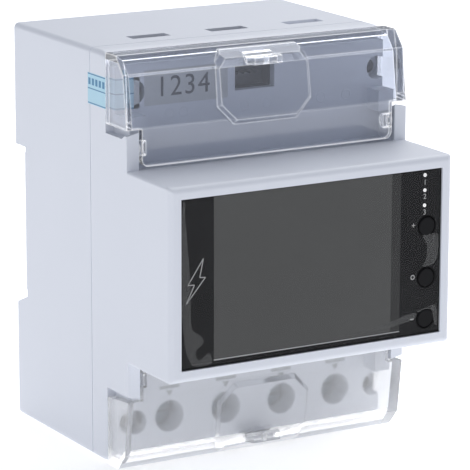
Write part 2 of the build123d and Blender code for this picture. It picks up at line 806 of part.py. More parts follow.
with BuildPart() as display_board:
    block(centred(0, 2 * (inner_half - display_board_margin)), (display_board_back, display_board_depth),
          (panel_edges[-1] + wall + display_board_margin, panel_edges[1] - wall - display_board_margin))
    for place in display_screw_places:
        rod(place, small_screw_radius + fit_gap,
            (display_board_back - overrun, display_board_depth + overrun), Mode.SUBTRACT)
finish(display_board.part, "display_board")

with BuildPart() as tact_switches:
    for level in button_levels.values():
        body_depth = display_board_depth + switch_body_height
        block(centred(button_column, switch_width), (display_board_depth, body_depth),
              centred(level, switch_width))
        rod((button_column, level), switch_plunger_radius, (body_depth, switch_top_depth))
finish(tact_switches.part, "tact_switches")

# Main board and the parts on it
with BuildPart() as main_board:
    block(centred(0, 2 * main_board_half), (main_board_back, main_board_depth),
          (main_board_foot, main_board_top))
    for place in main_screw_places:
        rod(place, small_screw_radius + fit_gap, (main_board_back - overrun, main_board_depth + overrun),
            Mode.SUBTRACT)
finish(main_board.part, "main_board")

with BuildPart() as power_transformer:
    transformer_level = panel_middle - transformer_drop
    bobbin_depth = main_board_depth + (transformer_core_height - transformer_bobbin_height) / 2
    block(centred(transformer_shift, transformer_core_width),
          (main_board_depth, main_board_depth + transformer_core_height),
          centred(transformer_level, transformer_core_length))
    block(centred(transformer_shift, transformer_bobbin_width),
          (bobbin_depth, bobbin_depth + transformer_bobbin_height),
          centred(transformer_level, transformer_bobbin_length))
finish(power_transformer.part, "power_transformer")

with BuildPart() as filter_capacitors:
    for index in range(capacitor_count):
        rod((capacitor_shift, panel_middle - capacitor_drop + index * capacitor_pitch), capacitor_radius,
            (main_board_depth, main_board_depth + capacitor_height))
finish(filter_capacitors.part, "filter_capacitors")

with BuildPart() as film_capacitor:
    block(centred(main_board_half - film_capacitor_inset, film_capacitor_width),
          (main_board_depth, main_board_depth + film_capacitor_height),
          centred(panel_middle + film_capacitor_rise, film_capacitor_length))
    fillet(film_capacitor.edges().filter_by(Axis.Y), radius=film_capacitor_edge)
finish(film_capacitor.part, "film_capacitor")


def chip(name, x, level, width, length):
    """Chip flat on the main board, with pins on its left and right."""
    with BuildPart() as body:
        block(centred(x, width), (main_board_depth, main_board_depth + chip_height), centred(level, length))
        for index in range(chip_pin_count):
            pin_level = level + ((index + 1) / (chip_pin_count + 1) - 1 / 2) * length
            block(centred(x, width + 2 * chip_pin_reach),
                  (main_board_depth, main_board_depth + chip_pin_height),
                  centred(pin_level, chip_pin_width))
    finish(body.part, name)


chip("metering_chip", metering_chip_shift, panel_middle + metering_chip_rise,
     metering_chip_width, metering_chip_length)
chip("processor_chip", processor_chip_shift, panel_middle + processor_chip_rise,
     processor_chip_width, processor_chip_length)
chip("supply_chip", supply_chip_shift, panel_middle + supply_chip_rise,
     supply_chip_width, supply_chip_length)

# Sockets for the current clamps under the open slots
with BuildPart() as current_sockets:
    socket_top = cavity_top - fit_gap
    pocket_floor = socket_top - socket_pocket
    for x in slot_places[:-1]:
        block(centred(x, slot_width + 2 * socket_wall), (main_board_depth, slot_depths[1] + socket_wall),
              (socket_top - socket_height, socket_top))
        block(centred(x, slot_width), slot_depths, (pocket_floor, socket_top + overrun), Mode.SUBTRACT)
        for edge in (-1, 1):
            with Locations((x + edge * socket_pin_spacing / 2, at_depth(slot_middle_depth), pocket_floor)):
                Cylinder(socket_pin_radius, socket_pin_length, align=(Align.CENTER, Align.CENTER, Align.MIN))
finish(current_sockets.part, "current_sockets")

# Radio board with the service socket, and the links between the boards
with BuildPart() as comms_board:
    block(centred(0, 2 * comms_board_half), (comms_board_back, comms_board_depth), comms_board_levels)
    for place in comms_screw_places:
        rod(place, small_screw_radius + fit_gap, (comms_board_back - overrun, comms_board_depth + overrun),
            Mode.SUBTRACT)
finish(comms_board.part, "comms_board")

with BuildPart() as radio_module:
    can_depth = comms_board_depth + radio_board_thickness
    radio_x = radio_board_width / 2 + part_gap + comms_post_radius - comms_post_column
    radio_level = comms_board_levels[0] + radio_rise
    block(centred(radio_x, radio_board_width), (comms_board_depth, can_depth),
          centred(radio_level, radio_board_width))
    block(centred(radio_x, radio_can_width), (can_depth, can_depth + radio_can_height),
          centred(radio_level, radio_can_width))
finish(radio_module.part, "radio_module")

with BuildPart() as port_socket:
    floor_depth = comms_board_depth + port_socket_back
    block(centred(port_centre, port_width + 2 * port_socket_wall),
          (comms_board_depth, nose_inner_depth - fit_gap),
          (port_levels[0] - port_socket_wall, port_levels[1]))
    block(centred(port_centre, port_width), (floor_depth, nose_inner_depth + overrun),
          (port_levels[0], port_levels[1] - port_socket_wall), Mode.SUBTRACT)
    for index in range(port_contact_count):
        x = port_centre + (index - (port_contact_count - 1) / 2) * port_contact_pitch
        block(centred(x, port_contact_width), (floor_depth, floor_depth + port_contact_length),
              centred(sum(port_levels) / 2, port_contact_width))
finish(port_socket.part, "port_socket")

with BuildPart() as board_link:
    link_x = comms_post_column - comms_post_radius - part_gap - link_width / 2
    link_levels = centred(comms_board_levels[0] + link_rise, link_height)
    pin_levels = centred(comms_board_levels[0] + link_rise, link_pin_width)
    for depths in ((main_board_depth, main_board_depth + link_body_height),
                   (comms_board_back - link_body_height, comms_board_back)):
        block(centred(link_x, link_width), depths, link_levels)
    for index in range(link_pin_count):
        x = link_x + (index - (link_pin_count - 1) / 2) * link_pin_pitch
        block(centred(x, link_pin_width), (main_board_depth, comms_board_back), pin_levels)
finish(board_link.part, "board_link")

with BuildPart() as riser_board:
    riser_foot = panel_middle - riser_drop
    block(centred(riser_inset - main_board_half, board_thickness), (main_board_depth, display_board_back),
          (riser_foot, riser_foot + riser_height))
finish(riser_board.part, "riser_board")

# Screws of the boards and of the case
with BuildPart() as board_screws:
    for place in main_screw_places:
        small_screw(place, main_board_depth, 1)
    for place in comms_screw_places:
        small_screw(place, comms_board_back, -1)
    for place in display_screw_places:
        small_screw(place, display_board_back, -1)
finish(board_screws.part, "board_screws")

with BuildPart() as case_screws:
    for place in well_places:
        head_depth = well_bottom_depth + case_screw_head_height
        rod(place, case_screw_head_radius, (well_bottom_depth, head_depth))
        rod(place, case_screw_shank_radius, (well_bottom_depth - case_screw_length, well_bottom_depth))
finish(case_screws.part, "case_screws")

# Terminals: the block, the bars, and for each pole a screw and the cage that it lifts
pocket_half = cage_half + cage_gap
with BuildPart() as terminal_block:
    pocket_top = cage_levels[1] + cage_gap
    block_front = shell_seam_depth - block_inset
    block(centred(0, 2 * (pole_places[-1] + pocket_half + block_end_wall)),
          (cage_depths[0] - cage_gap - block_back_wall, block_front),
          (wall + fit_gap, pocket_top + block_roof))
    for x in pole_places:
        block(centred(x, 2 * pocket_half), (cage_depths[0] - cage_gap, block_front + overrun),
              (-overrun, pocket_top), Mode.SUBTRACT)
        block(centred(x, bar_width + 2 * cage_gap), (bar_back_depth - cage_gap, bar_front_depth + cage_gap),
              (pocket_top - overrun, pocket_top + block_roof + overrun), Mode.SUBTRACT)
finish(terminal_block.part, "terminal_block")

with BuildPart() as contact_bars:
    for x in pole_places:
        with BuildSketch(Plane.YZ.offset(x)):
            side_profile([
                (bar_back_depth, bar_foot),
                (bar_front_depth, bar_foot),
                (bar_front_depth, bar_top),
                (main_board_depth, bar_top),
                (main_board_depth, bar_top - bar_thickness),
                (bar_back_depth, bar_top - bar_thickness),
            ])
        extrude(amount=bar_width / 2, both=True)
finish(contact_bars.part, "contact_bars")

for index, x in enumerate(pole_places, start=1):
    place = (x, pole_level)
    with BuildPart() as cage:
        block(centred(x, 2 * cage_half), cage_depths, cage_levels)
        block(centred(x, 2 * (cage_half - cage_wall)),
              (cage_depths[0] + cage_rear_plate, cage_depths[1] - cage_front_plate),
              (cage_levels[0] - overrun, cage_levels[1] + overrun), Mode.SUBTRACT)
        rod(place, screw_shank_radius + thread_clearance,
            (cage_depths[1] - cage_front_plate - fit_gap, cage_depths[1] + overrun), Mode.SUBTRACT)
    finish(cage.part, f"terminal_cage_{index}")
    with BuildPart() as screw:
        rod(place, screw_head_radius, (screw_seat_depth, screw_head_depth))
        chamfer(screw.edges().filter_by(GeomType.CIRCLE).sort_by(Axis.Y)[0], length=screw_head_edge)
        rod(place, screw_shank_radius, (bar_front_depth + fit_gap, screw_seat_depth))
        block(centred(x, 2 * screw_head_radius + overrun),
              (screw_head_depth - screw_slot_depth, screw_head_depth + overrun),
              centred(pole_level, screw_slot_width), Mode.SUBTRACT)
    finish(screw.part, f"terminal_screw_{index}")

# Rail clip: a plate with a bevelled nose, a slot for the stop peg, two spring arms and a pull slot
with BuildPart() as rail_clip:
    clip_half = clip_width / 2
    clip_arm_foot = clip_foot + clip_arm_above_foot
    with BuildSketch(Plane.YZ):
        side_profile([
            (clip_skin, clip_foot),
            (clip_skin + clip_thickness, clip_foot),
            (clip_skin + clip_thickness, clip_nose),
            (clip_skin + clip_thickness - clip_nose_bevel / 2, clip_nose),
            (clip_skin, clip_nose - clip_nose_bevel),
        ])
    extrude(amount=clip_half, both=True)
    through = (-overrun, clip_skin + clip_thickness + overrun)
    peg_room = stop_peg_radius + clip_gap
    block(centred(0, 2 * peg_room), through,
          (stop_peg_level - peg_room, stop_peg_level + peg_room + clip_travel), Mode.SUBTRACT)
    block(centred(0, pull_slot_width), through,
          centred(clip_foot + pull_slot_above_foot, pull_slot_height), Mode.SUBTRACT)
    for edge in (-1, 1):
        slit = (edge * (clip_half - clip_arm_width - clip_arm_slit), edge * (clip_half - clip_arm_width))
        block(slit, through, (clip_arm_foot, rail_bottom - clip_arm_below_rail), Mode.SUBTRACT)
        block((slit[0], edge * (clip_half + overrun)), through,
              (clip_arm_foot, clip_arm_foot + clip_arm_slit), Mode.SUBTRACT)
finish(rail_clip.part, "rail_clip")
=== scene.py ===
"""Looks of a rail mounted energy meter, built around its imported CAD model."""

import json
import logging
import math
from dataclasses import dataclass, field
from enum import Enum
from functools import cache

import bmesh
import bpy
from mathutils import Matrix, Vector


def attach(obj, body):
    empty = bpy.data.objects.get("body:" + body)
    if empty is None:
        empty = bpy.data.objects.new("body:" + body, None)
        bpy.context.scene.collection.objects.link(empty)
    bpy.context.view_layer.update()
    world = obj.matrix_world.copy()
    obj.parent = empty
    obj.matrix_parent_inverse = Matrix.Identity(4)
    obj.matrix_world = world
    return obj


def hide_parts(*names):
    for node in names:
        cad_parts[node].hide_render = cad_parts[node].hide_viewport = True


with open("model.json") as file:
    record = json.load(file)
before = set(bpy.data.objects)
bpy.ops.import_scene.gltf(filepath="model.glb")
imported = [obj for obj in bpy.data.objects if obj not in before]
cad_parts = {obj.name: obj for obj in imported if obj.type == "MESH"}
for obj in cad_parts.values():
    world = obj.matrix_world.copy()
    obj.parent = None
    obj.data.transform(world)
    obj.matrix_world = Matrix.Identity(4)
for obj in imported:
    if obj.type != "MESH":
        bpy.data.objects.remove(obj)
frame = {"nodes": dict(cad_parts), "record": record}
log = logging.getLogger("meter")

MM = 0.001
Colour = tuple[float, float, float]
Point = tuple[float, float, float]
Pair = tuple[float, float]

BLACK: Colour = (0.0, 0.0, 0.0)
WHITE: Colour = (1.0, 1.0, 1.0)
SHEEN = "Specular IOR Level"


# Places on the object


@dataclass(frozen=True)
class Place:
    """Flat place on the object: a point, the direction that reads as right, and the one that reads as up."""

    origin: Point
    right: Point
    up: Point

    def matrix(self) -> Matrix:
        """Gives the matrix from the place's own X, Y and outward Z to the frame.

        Returns:
            A 4 by 4 matrix.
        """
        right, up = Vector(self.right), Vector(self.up)
        turn = Matrix((right, up, right.cross(up))).transposed()
        return Matrix.Translation(Vector(self.origin)) @ turn.to_4x4()


class Side(Enum):
    """Sides of the meter that carry prints, as the directions of right and up."""

    FRONT = ((1, 0, 0), (0, 0, 1))
    LEFT = ((0, -1, 0), (0, 0, 1))

    def at(self, x: float, y: float, z: float) -> Place:
        """Gives the place on this side at a point of the frame, in millimetres."""
        return Place((x * MM, y * MM, z * MM), *self.value)


# Node trees


@dataclass
class Graph:
    """Node tree of a material or a group, with short calls to add and join nodes."""

    tree: bpy.types.NodeTree
    mix_colours: tuple[int, int] = (6, 7)
    mix_result: int = 2

    def add(self, kind: str, **settings: object) -> bpy.types.Node:
        """Adds a node.

        Args:
            kind: The node's type name after ShaderNode.
            settings: Properties of the node.

        Returns:
            The new node.
        """
        node = self.tree.nodes.new("ShaderNode" + kind)
        for name, value in settings.items():
            setattr(node, name, value)
        return node

    def join(self, source: object, target: bpy.types.NodeSocket) -> None:
        """Feeds a socket from another socket, or sets it to a value.

        Args:
            source: Socket or value.
            target: The socket that is fed.
        """
        if isinstance(source, bpy.types.NodeSocket):
            self.tree.links.new(source, target)
        else:
            target.default_value = source

    def sum_up(self, operation: str, *values: object) -> bpy.types.NodeSocket:
        """Adds a Math node.

        Args:
            operation: Name of the operation.
            values: Sockets or numbers for its inputs.

        Returns:
            The node's result.
        """
        node = self.add("Math", operation=operation)
        for value, socket in zip(values, node.inputs):
            self.join(value, socket)
        return node.outputs[0]

    def mix(self, share: object, first: object, second: object) -> bpy.types.NodeSocket:
        """Mixes two colours.

        Args:
            share: Socket or number, 0 for the first colour and 1 for the second.
            first: Socket or colour.
            second: Socket or colour.

        Returns:
            The mixed colour.
        """
        node = self.add("Mix", data_type="RGBA")
        self.join(share, node.inputs["Factor"])
        for colour, socket in zip((first, second), self.mix_colours):
            self.join(solid(colour), node.inputs[socket])
        return node.outputs[self.mix_result]

    def position(self) -> bpy.types.NodeSocket:
        """Gives the point's place on the object, in metres."""
        return self.add("TexCoord").outputs["Object"]

    def noise(self, size: object, detail: float = 2.0, stretch: object = None) -> bpy.types.NodeSocket:
        """Adds a noise over the object's coordinates.

        Args:
            size: Socket or number, the noise's scale per metre.
            detail: Number of octaves.
            stretch: Socket or numbers that the coordinates are multiplied by, or None.

        Returns:
            The noise from 0 to 1.
        """
        place = self.position()
        if stretch is not None:
            scaled = self.add("VectorMath", operation="MULTIPLY")
            self.join(place, scaled.inputs[0])
            self.join(stretch, scaled.inputs[1])
            place = scaled.outputs[0]
        node = self.add("TexNoise")
        self.join(place, node.inputs["Vector"])
        self.join(size, node.inputs["Scale"])
        self.join(detail, node.inputs["Detail"])
        return node.outputs["Fac"]

    def spread(self, value: object, low: object, high: object) -> bpy.types.NodeSocket:
        """Spreads a value from 0 to 1 between two limits.

        Args:
            value: Socket with values from 0 to 1.
            low: Result at 0.
            high: Result at 1.

        Returns:
            The spread value.
        """
        node = self.add("MapRange")
        self.join(value, node.inputs["Value"])
        self.join(low, node.inputs["To Min"])
        self.join(high, node.inputs["To Max"])
        return node.outputs[0]


def solid(colour: object) -> object:
    """Gives a colour its fourth channel, and leaves a socket as it is."""
    return colour if isinstance(colour, bpy.types.NodeSocket) else (*colour, 1.0)


def fix(node: bpy.types.Node, values: dict[str, object]) -> None:
    """Sets inputs of a node to plain values, by their names."""
    for name, value in values.items():
        node.inputs[name].default_value = value


class Effects:
    """Shader node groups that several finishes share, each made once."""

    grain_octaves = 3.0
    broad_ratio = 9.0
    broad_share = 0.5
    speck_ratio = 14.0
    speck_reach = 0.045
    edge_samples = 4

    @staticmethod
    def _group(name: str, inputs: dict[str, str],
               outputs: dict[str, str]) -> tuple[Graph, bpy.types.Node, bpy.types.Node]:
        """Starts a group.

        Args:
            name: The group's name.
            inputs: Input names and their kinds.
            outputs: Output names and their kinds.

        Returns:
            Its graph, its input node and its output node.
        """
        tree = bpy.data.node_groups.new(name, "ShaderNodeTree")
        for names, way in ((inputs, "INPUT"), (outputs, "OUTPUT")):
            for label, kind in names.items():
                tree.interface.new_socket(name=label, in_out=way, socket_type="NodeSocket" + kind)
        return Graph(tree), tree.nodes.new("NodeGroupInput"), tree.nodes.new("NodeGroupOutput")

    @staticmethod
    @cache
    def grain() -> bpy.types.NodeTree:
        """Makes a fine moulded grain.

        Returns:
            The group, with a height for bump and a tone that varies the gloss.
        """
        graph, given, out = Effects._group(
            "fine_grain", {"Size": "Float", "Depth": "Float"}, {"Height": "Float", "Tone": "Float"})
        fine = graph.noise(given.outputs["Size"], Effects.grain_octaves)
        broad = graph.noise(graph.sum_up("DIVIDE", given.outputs["Size"], Effects.broad_ratio))
        graph.join(graph.sum_up("MULTIPLY", fine, given.outputs["Depth"]), out.inputs["Height"])
        slow = graph.sum_up("MULTIPLY", broad, Effects.broad_share)
        tone = graph.sum_up("MULTIPLY_ADD", fine, 1 - Effects.broad_share, slow)
        graph.join(tone, out.inputs["Tone"])
        return graph.tree

    @staticmethod
    @cache
    def drift() -> bpy.types.NodeTree:
        """Makes a slow change of tone across a moulding, with tiny specks in it.

        Returns:
            The group, with the changed colour.
        """
        graph, given, out = Effects._group(
            "tone_drift", {"Colour": "Color", "Size": "Float", "Drift": "Float", "Specks": "Float"},
            {"Colour": "Color"})
        slow = graph.noise(given.outputs["Size"])
        dark = graph.sum_up("MULTIPLY", graph.spread(slow, -1.0, 1.0), given.outputs["Drift"])
        factor = graph.sum_up("SUBTRACT", 1.0, dark)
        cells = graph.add("TexVoronoi")
        graph.join(graph.position(), cells.inputs["Vector"])
        dense = graph.sum_up("MULTIPLY", given.outputs["Size"], Effects.speck_ratio)
        graph.join(dense, cells.inputs["Scale"])
        speck = graph.sum_up("LESS_THAN", cells.outputs["Distance"], Effects.speck_reach)
        speckled = graph.sum_up("MULTIPLY", speck, given.outputs["Specks"])
        shade = graph.sum_up("SUBTRACT", factor, speckled)
        scaled = graph.add("VectorMath", operation="SCALE")
        graph.join(given.outputs["Colour"], scaled.inputs[0])
        graph.join(shade, scaled.inputs["Scale"])
        graph.join(scaled.outputs[0], out.inputs["Colour"])
        return graph.tree

    @staticmethod
    @cache
    def hairlines() -> bpy.types.NodeTree:
        """Makes long fine lines, as brushing, rolling or wiping leaves them.

        Returns:
            The group, with a height for bump and a tone that varies the gloss.
        """
        graph, given, out = Effects._group(
            "hairlines", {"Stretch": "Vector", "Size": "Float", "Depth": "Float"},
            {"Height": "Float", "Tone": "Float"})
        lines = graph.noise(given.outputs["Size"], Effects.grain_octaves, given.outputs["Stretch"])
        graph.join(graph.sum_up("MULTIPLY", lines, given.outputs["Depth"]), out.inputs["Height"])
        graph.join(lines, out.inputs["Tone"])
        return graph.tree

    @staticmethod
    @cache
    def zone() -> bpy.types.NodeTree:
        """Makes a mask of the part of an object between two corners.

        Returns:
            The group, with the mask.
        """
        graph, given, out = Effects._group(
            "zone_mask", {"Low": "Vector", "High": "Vector"}, {"Mask": "Float"})
        place, low, high = (graph.add("SeparateXYZ") for _ in range(3))
        graph.join(graph.position(), place.inputs[0])
        graph.join(given.outputs["Low"], low.inputs[0])
        graph.join(given.outputs["High"], high.inputs[0])
        mask: object = 1.0
        for axis in range(3):
            above = graph.sum_up("GREATER_THAN", place.outputs[axis], low.outputs[axis])
            below = graph.sum_up("LESS_THAN", place.outputs[axis], high.outputs[axis])
            mask = graph.sum_up("MULTIPLY", mask, graph.sum_up("MULTIPLY", above, below))
        graph.join(mask, out.inputs["Mask"])
        return graph.tree

    @staticmethod
    @cache
    def edges() -> bpy.types.NodeTree:
        """Makes a mask of the edges, from how far a rounded normal leans away from the face's own.

        Returns:
            The group, with the mask.
        """
        graph, given, out = Effects._group(
            "edge_mask", {"Width": "Float", "Falloff": "Float"}, {"Mask": "Float"})
        rounded = graph.add("Bevel", samples=Effects.edge_samples)
        graph.join(given.outputs["Width"], rounded.inputs["Radius"])
        lean = graph.add("VectorMath", operation="DOT_PRODUCT")
        graph.join(rounded.outputs[0], lean.inputs[0])
        graph.join(graph.add("NewGeometry").outputs["Normal"], lean.inputs[1])
        square = graph.sum_up("MULTIPLY", lean.outputs["Value"], lean.outputs["Value"])
        left = graph.sum_up("MAXIMUM", graph.sum_up("SUBTRACT", 1.0, square), 0.0)
        graph.join(graph.sum_up("POWER", left, given.outputs["Falloff"]), out.inputs["Mask"])
        return graph.tree


# Finishes


@dataclass(frozen=True)
class Finish:
    """Surface of one kind of piece, and the start that all finishes share."""

    name: str
    colour: Colour
    roughness: float = 0.5
    gloss_swing: float = 0.08
    grain_size: float = 5000.0
    grain_depth: float = 0.15
    drift: float = 0.02
    drift_size: float = 60.0
    specks: float = 0.0
    bump: float = 0.1
    sheen: float = 0.5

    def build(self) -> bpy.types.Material:
        """Makes the material, once.

        Returns:
            The material.
        """
        if self.name in bpy.data.materials:
            return bpy.data.materials[self.name]
        material = bpy.data.materials.new(self.name)
        material.use_nodes = True
        self.dress(Graph(material.node_tree), material.node_tree.nodes["Principled BSDF"])
        return material

    def effect(self, graph: Graph, tree: bpy.types.NodeTree, **values: object) -> bpy.types.Node:
        """Places a shared effect.

        Args:
            graph: The material's graph.
            tree: The effect's node group.
            values: Sockets or values for its inputs.

        Returns:
            The group's node.
        """
        node = graph.add("Group", node_tree=tree)
        for name, value in values.items():
            graph.join(value, node.inputs[name])
        return node

    def zone(self, graph: Graph, low: Point, high: Point) -> bpy.types.NodeSocket:
        """Gives the mask of the part between two corners.

        Args:
            graph: The material's graph.
            low: Lowest corner in millimetres.
            high: Highest corner in millimetres.

        Returns:
            The mask.
        """
        low, high = (tuple(value * MM for value in corner) for corner in (low, high))
        return self.effect(graph, Effects.zone(), Low=low, High=high).outputs["Mask"]

    def paint(self, graph: Graph) -> object:
        """Gives the colour before its tone drifts: a plain colour, or a socket where it has a pattern."""
        return solid(self.colour)

    def texture(self, graph: Graph) -> bpy.types.Node:
        """Gives the relief that varies gloss and normal, here a fine grain."""
        return self.effect(graph, Effects.grain(), Size=self.grain_size, Depth=self.grain_depth)

    def dress(self, graph: Graph, shader: bpy.types.Node) -> None:
        """Joins colour, gloss and relief to the shader.

        Args:
            graph: The material's graph.
            shader: Its Principled shader.
        """
        tone = self.effect(graph, Effects.drift(), Colour=self.paint(graph), Size=self.drift_size,
                           Drift=self.drift, Specks=self.specks)
        graph.join(tone.outputs["Colour"], shader.inputs["Base Color"])
        relief = self.texture(graph)
        low, high = self.roughness - self.gloss_swing, self.roughness + self.gloss_swing
        graph.join(graph.spread(relief.outputs["Tone"], low, high), shader.inputs["Roughness"])
        bump = graph.add("Bump")
        fix(bump, {"Strength": self.bump, "Distance": MM})
        graph.join(relief.outputs["Height"], bump.inputs["Height"])
        graph.join(bump.outputs[0], shader.inputs["Normal"])
        fix(shader, {SHEEN: self.sheen})


@dataclass(frozen=True)
class Clear(Finish):
    """Clear moulded plastic whose edges carry a painted highlight, a white glow, over a painted grey shade.
    """

    ior: float = 1.33
    clearness: float = 0.94
    coat_roughness: float = 0.04
    light_through: float = 0.35
    # Edge look: a white glow as painted highlight over a grey base as painted shade, in place of light bent
    # and reflected at the edges.
    edge_width: float = 0.42
    painted_edge_glow: float = 0.7
    edge_falloff: float = 0.3
    painted_edge_shade: Colour = (0.42, 0.43, 0.45)

    def dress(self, graph: Graph, shader: bpy.types.Node) -> None:
        """Adds clearness, a glossy skin and a painted highlight, a white glow on its edges, to its colour,
        gloss and grain.

        Args:
            graph: The material's graph.
            shader: Its Principled shader.
        """
        super().dress(graph, shader)
        fix(shader, {"Transmission Weight": self.clearness, "IOR": self.ior, "Coat Weight": 1.0,
                     "Coat Roughness": self.coat_roughness, "Emission Strength": 1.0})
        shadow = graph.add("LightPath").outputs["Is Shadow Ray"]
        graph.join(graph.sum_up("MULTIPLY_ADD", shadow, -self.light_through, 1.0), shader.inputs["Alpha"])
        # Painted highlight: the edges glow white, though the plastic is no lamp.
        bright = graph.sum_up("MULTIPLY", self._edges(graph), self.painted_edge_glow)
        graph.join(graph.mix(bright, BLACK, WHITE), shader.inputs["Emission Color"])

    def paint(self, graph: Graph) -> object:
        """Mixes the painted grey shade of the edges in."""
        return graph.mix(self._edges(graph), self.colour, self.painted_edge_shade)

    def _edges(self, graph: Graph) -> bpy.types.NodeSocket:
        """Gives the mask of its edges, where the highlight and the shade are painted."""
        width, falloff = self.edge_width * MM, self.edge_falloff
        return self.effect(graph, Effects.edges(), Width=width, Falloff=falloff).outputs["Mask"]


@dataclass(frozen=True)
class Veil(Finish):
    """Thin sheet or film that hardly shows."""

    sheen: float = 0.2
    cover: float = 0.1
    cover_swing: float = 0.5

    def dress(self, graph: Graph, shader: bpy.types.Node) -> None:
        """Adds a cover that varies slowly over the sheet.

        Args:
            graph: The material's graph.
            shader: Its Principled shader.
        """
        super().dress(graph, shader)
        slow = graph.noise(self.drift_size)
        low, high = self.cover * (1 - self.cover_swing), self.cover * (1 + self.cover_swing)
        graph.join(graph.spread(slow, low, high), shader.inputs["Alpha"])


@dataclass(frozen=True)
class Plated(Finish):
    """Plated or bare metal with fine lines along one direction."""

    lines: Point = (1.0, 1.0, 12.0)

    def texture(self, graph: Graph) -> bpy.types.Node:
        """Gives the fine lines in place of the grain."""
        return self.effect(graph, Effects.hairlines(), Stretch=self.lines, Size=self.grain_size,
                           Depth=self.grain_depth)

    def dress(self, graph: Graph, shader: bpy.types.Node) -> None:
        """Makes it a metal."""
        super().dress(graph, shader)
        fix(shader, {"Metallic": 1.0})


@dataclass(frozen=True)
class Zoned(Finish):
    """Finish with a second colour between two corners of the object, given in millimetres."""

    second: Colour = (0.1, 0.1, 0.1)
    low: Point = (0, 0, 0)
    high: Point = (0, 0, 0)

    def paint(self, graph: Graph) -> object:
        """Mixes the second colour in between the corners."""
        return graph.mix(self.zone(graph, self.low, self.high), self.colour, self.second)


@dataclass(frozen=True)
class Striped(Finish):
    """Finish with narrow stripes across one direction, their pitch in millimetres."""

    second: Colour = (0.1, 0.1, 0.1)
    pitch: float = 0.5
    direction: str = "X"
    wave_rate: float = 10.0

    def paint(self, graph: Graph) -> object:
        """Mixes the stripes in, from a wave that repeats every pi over its rate at scale 1.

        Args:
            graph: The material's graph.

        Returns:
            The striped colour.
        """
        wave = graph.add("TexWave", wave_type="BANDS", bands_direction=self.direction)
        graph.join(graph.position(), wave.inputs["Vector"])
        fix(wave, {"Scale": math.pi / (self.pitch * MM * self.wave_rate)})
        return graph.mix(graph.sum_up("GREATER_THAN", wave.outputs["Fac"], 0.5), self.colour, self.second)


@dataclass(frozen=True)
class Laminate(Finish):
    """Circuit board with copper tracks that show as a lighter green under its mask."""

    track: Colour = (0.06, 0.3, 0.12)
    track_size: float = 260.0
    track_gap: float = 0.06
    track_length: float = 1.4
    track_pitch: float = 0.45
    upright: float = math.radians(90)

    def paint(self, graph: Graph) -> object:
        """Mixes the tracks in.

        Args:
            graph: The material's graph.

        Returns:
            The board's colour with its tracks.
        """
        bricks = graph.add("TexBrick")
        turned = graph.add("Mapping")
        fix(turned, {"Rotation": (self.upright, 0, 0)})
        graph.join(graph.position(), turned.inputs["Vector"])
        graph.join(turned.outputs[0], bricks.inputs["Vector"])
        fix(bricks, {"Scale": self.track_size, "Mortar Size": self.track_gap,
                     "Brick Width": self.track_length, "Row Height": self.track_pitch})
        return graph.mix(bricks.outputs["Fac"], self.colour, self.track)


@dataclass(frozen=True)
class DarkWindow(Finish):
    """Glossy window with a black printed border, and the grey of the display within it."""

    sheen: float = 0.03
    display: Colour = (0.088, 0.088, 0.085)
    band: Colour = (0.045, 0.045, 0.044)
    display_low: Pair = (-25.1, 29.9)
    display_high: Pair = (20.2, 65.9)
    band_width: float = 2.4
    deep: float = 100.0
    glow: float = 0.04
    glow_size: float = 18.0

    def paint(self, graph: Graph) -> object:
        """Mixes the display's area and its darker band into the border.

        Args:
            graph: The material's graph.

        Returns:
            The window's colour.
        """
        (left, foot), (right, top) = self.display_low, self.display_high
        area = self.zone(graph, (left, -self.deep, foot), (right, self.deep, top))
        beside = self.zone(graph, (right, -self.deep, foot), (right + self.band_width, self.deep, top))
        bordered = graph.mix(beside, self.colour, self.band)
        brighter = tuple(channel * (1 + self.glow) for channel in self.display)
        screen = graph.mix(graph.noise(self.glow_size), self.display, brighter)
        return graph.mix(area, bordered, screen)


@dataclass(frozen=True)
class PaleFloor(Finish):
    """Matt floor that glows a little, as the floor of a lit white tent does."""

    second: Colour = (0.92, 0.92, 0.925)
    patch_size: float = 3.0
    glow: float = 0.55

    def dress(self, graph: Graph, shader: bpy.types.Node) -> None:
        """Joins two pale tones to the shader and sets its glow.

        Args:
            graph: The material's graph.
            shader: Its Principled shader.
        """
        graph.join(graph.mix(graph.noise(self.patch_size), self.colour, self.second),
                   shader.inputs["Base Color"])
        fix(shader, {"Roughness": self.roughness, SHEEN: self.sheen, "Emission Color": solid(WHITE),
                     "Emission Strength": self.glow})


WHITE_PLASTIC = Finish("white_moulding", (0.765, 0.79, 0.85), roughness=0.42, gloss_swing=0.06,
                       grain_size=4200.0, grain_depth=0.12, drift=0.012, drift_size=40.0, bump=0.12)
# Its edges glow as a painted highlight over a painted grey shade.
CLEAR_PLASTIC = Clear("clear_cover", (0.83, 0.86, 0.93), roughness=0.05, gloss_swing=0.02, grain_size=900.0,
                      grain_depth=0.05, drift=0.01, drift_size=50.0, bump=0.02)
# Its edges carry a faint painted highlight over a painted grey shade.
FROSTED_PLASTIC = Clear("frosted_cover", (0.97, 0.975, 0.985), roughness=0.2, gloss_swing=0.04,
                        grain_size=900.0, grain_depth=0.1, drift=0.01, drift_size=50.0, bump=0.05,
                        clearness=0.89, light_through=1.0, painted_edge_glow=0.12, painted_edge_shade=(0.42, 0.43, 0.47))

